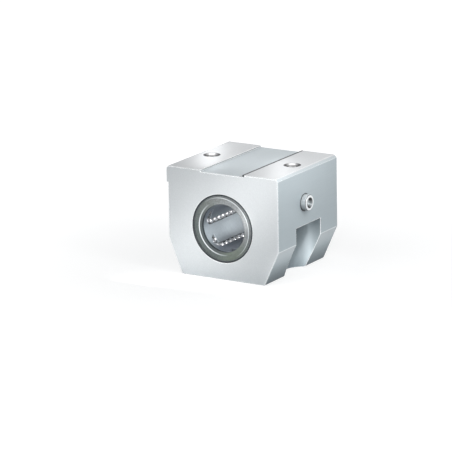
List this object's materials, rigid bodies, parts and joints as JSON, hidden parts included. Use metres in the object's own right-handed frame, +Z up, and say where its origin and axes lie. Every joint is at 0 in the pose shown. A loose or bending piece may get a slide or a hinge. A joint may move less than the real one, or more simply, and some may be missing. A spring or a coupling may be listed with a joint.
{
  "type": "linear bearing block",
  "caption": "Block housing with a sealed linear ball bearing for a round shaft, two tapped holes in the top pads, open screw pockets below and a grease nipple in the side.",
  "frame": {"origin": "on the shaft axis at mid-length", "axes": "+Y along the shaft from the front face to the rear, +X across the block towards the nipple, +Z up to the top pads"},
  "size_m": [0.0554, 0.048, 0.045],
  "materials": {
    "aluminium_block": "machined, satin",
    "bearing_steel": "ground",
    "cage_plastic": "moulded",
    "seal_rubber": "moulded, semi-matt",
    "nipple_metal": "plated",
    "spring_steel": "drawn wire",
    "ball_steel": "polished"
  },
  "bodies": {
    "block": {"housing": "aluminium_block", "bearing_sleeve": "bearing_steel", "ball_cage": "cage_plastic", "front_seal": "seal_rubber", "rear_seal": "seal_rubber", "nipple_body": "nipple_metal", "nipple_spring": "spring_steel"},
    "loaded_rows": {"loaded_balls_1": "ball_steel", "loaded_balls_2": "ball_steel", "loaded_balls_3": "ball_steel", "loaded_balls_4": "ball_steel", "loaded_balls_5": "ball_steel", "loaded_balls_6": "ball_steel"},
    "return_rows": {"return_balls_1": "ball_steel", "return_balls_2": "ball_steel", "return_balls_3": "ball_steel", "return_balls_4": "ball_steel", "return_balls_5": "ball_steel", "return_balls_6": "ball_steel"},
    "front_turn_1": {"front_turn_balls_1": "ball_steel"},
    "front_turn_2": {"front_turn_balls_2": "ball_steel"},
    "front_turn_3": {"front_turn_balls_3": "ball_steel"},
    "front_turn_4": {"front_turn_balls_4": "ball_steel"},
    "front_turn_5": {"front_turn_balls_5": "ball_steel"},
    "front_turn_6": {"front_turn_balls_6": "ball_steel"},
    "rear_turn_1": {"rear_turn_balls_1": "ball_steel"},
    "rear_turn_2": {"rear_turn_balls_2": "ball_steel"},
    "rear_turn_3": {"rear_turn_balls_3": "ball_steel"},
    "rear_turn_4": {"rear_turn_balls_4": "ball_steel"},
    "rear_turn_5": {"rear_turn_balls_5": "ball_steel"},
    "rear_turn_6": {"rear_turn_balls_6": "ball_steel"},
    "check_ball": {"nipple_ball": "ball_steel"}
  },
  "joints": [
    {"name": "loaded_rows_roll", "type": "slide", "parent": "block", "child": "loaded_rows", "axis": [0, 1, 0], "range_m": [-0.00161, 0.00161]},
    {"name": "return_rows_roll", "type": "slide", "parent": "block", "child": "return_rows", "axis": [0, 1, 0], "range_m": [-0.00161, 0.00161]},
    {"name": "front_turn_1_roll", "type": "hinge", "parent": "block", "child": "front_turn_1", "pos_m": [0.01139, -0.01615, -0.00206], "axis": [1, 0, 0], "range_deg": [-45, 45]},
    {"name": "front_turn_2_roll", "type": "hinge", "parent": "block", "child": "front_turn_2", "pos_m": [0.00748, -0.01615, 0.00884], "axis": [0.5, 0, 0.866], "range_deg": [-45, 45]},
    {"name": "front_turn_3_roll", "type": "hinge", "parent": "block", "child": "front_turn_3", "pos_m": [-0.00391, -0.01615, 0.01089], "axis": [-0.5, 0, 0.866], "range_deg": [-45, 45]},
    {"name": "front_turn_4_roll", "type": "hinge", "parent": "block", "child": "front_turn_4", "pos_m": [-0.01139, -0.01615, 0.00206], "axis": [-1, 0, 0], "range_deg": [-45, 45]},
    {"name": "front_turn_5_roll", "type": "hinge", "parent": "block", "child": "front_turn_5", "pos_m": [-0.00748, -0.01615, -0.00884], "axis": [-0.5, 0, -0.866], "range_deg": [-45, 45]},
    {"name": "front_turn_6_roll", "type": "hinge", "parent": "block", "child": "front_turn_6", "pos_m": [0.00391, -0.01615, -0.01089], "axis": [0.5, 0, -0.866], "range_deg": [-45, 45]},
    {"name": "rear_turn_1_roll", "type": "hinge", "parent": "block", "child": "rear_turn_1", "pos_m": [0.01139, 0.01615, -0.00206], "axis": [1, 0, 0], "range_deg": [-45, 45]},
    {"name": "rear_turn_2_roll", "type": "hinge", "parent": "block", "child": "rear_turn_2", "pos_m": [0.00748, 0.01615, 0.00884], "axis": [0.5, 0, 0.866], "range_deg": [-45, 45]},
    {"name": "rear_turn_3_roll", "type": "hinge", "parent": "block", "child": "rear_turn_3", "pos_m": [-0.00391, 0.01615, 0.01089], "axis": [-0.5, 0, 0.866], "range_deg": [-45, 45]},
    {"name": "rear_turn_4_roll", "type": "hinge", "parent": "block", "child": "rear_turn_4", "pos_m": [-0.01139, 0.01615, 0.00206], "axis": [-1, 0, 0], "range_deg": [-45, 45]},
    {"name": "rear_turn_5_roll", "type": "hinge", "parent": "block", "child": "rear_turn_5", "pos_m": [-0.00748, 0.01615, -0.00884], "axis": [-0.5, 0, -0.866], "range_deg": [-45, 45]},
    {"name": "rear_turn_6_roll", "type": "hinge", "parent": "block", "child": "rear_turn_6", "pos_m": [0.00391, 0.01615, -0.01089], "axis": [0.5, 0, -0.866], "range_deg": [-45, 45]},
    {"name": "check_ball_press", "type": "slide", "parent": "block", "child": "check_ball", "axis": [-1, 0, 0], "range_m": [0, 0.0006], "stiffness_N_per_m": 400, "springref_m": -0.0008, "deforming": ["nipple_spring"]}
  ],
  "couplings": [
    {"joint": "return_rows_roll", "follows": "loaded_rows_roll", "ratio": -1},
    {"joint": "front_turn_1_roll", "follows": "loaded_rows_roll", "rad_per_m": -486.32},
    {"joint": "front_turn_2_roll", "follows": "loaded_rows_roll", "rad_per_m": -486.32},
    {"joint": "front_turn_3_roll", "follows": "loaded_rows_roll", "rad_per_m": -486.32},
    {"joint": "front_turn_4_roll", "follows": "loaded_rows_roll", "rad_per_m": -486.32},
    {"joint": "front_turn_5_roll", "follows": "loaded_rows_roll", "rad_per_m": -486.32},
    {"joint": "front_turn_6_roll", "follows": "loaded_rows_roll", "rad_per_m": -486.32},
    {"joint": "rear_turn_1_roll", "follows": "loaded_rows_roll", "rad_per_m": -486.32},
    {"joint": "rear_turn_2_roll", "follows": "loaded_rows_roll", "rad_per_m": -486.32},
    {"joint": "rear_turn_3_roll", "follows": "loaded_rows_roll", "rad_per_m": -486.32},
    {"joint": "rear_turn_4_roll", "follows": "loaded_rows_roll", "rad_per_m": -486.32},
    {"joint": "rear_turn_5_roll", "follows": "loaded_rows_roll", "rad_per_m": -486.32},
    {"joint": "rear_turn_6_roll", "follows": "loaded_rows_roll", "rad_per_m": -486.32}
  ]
}
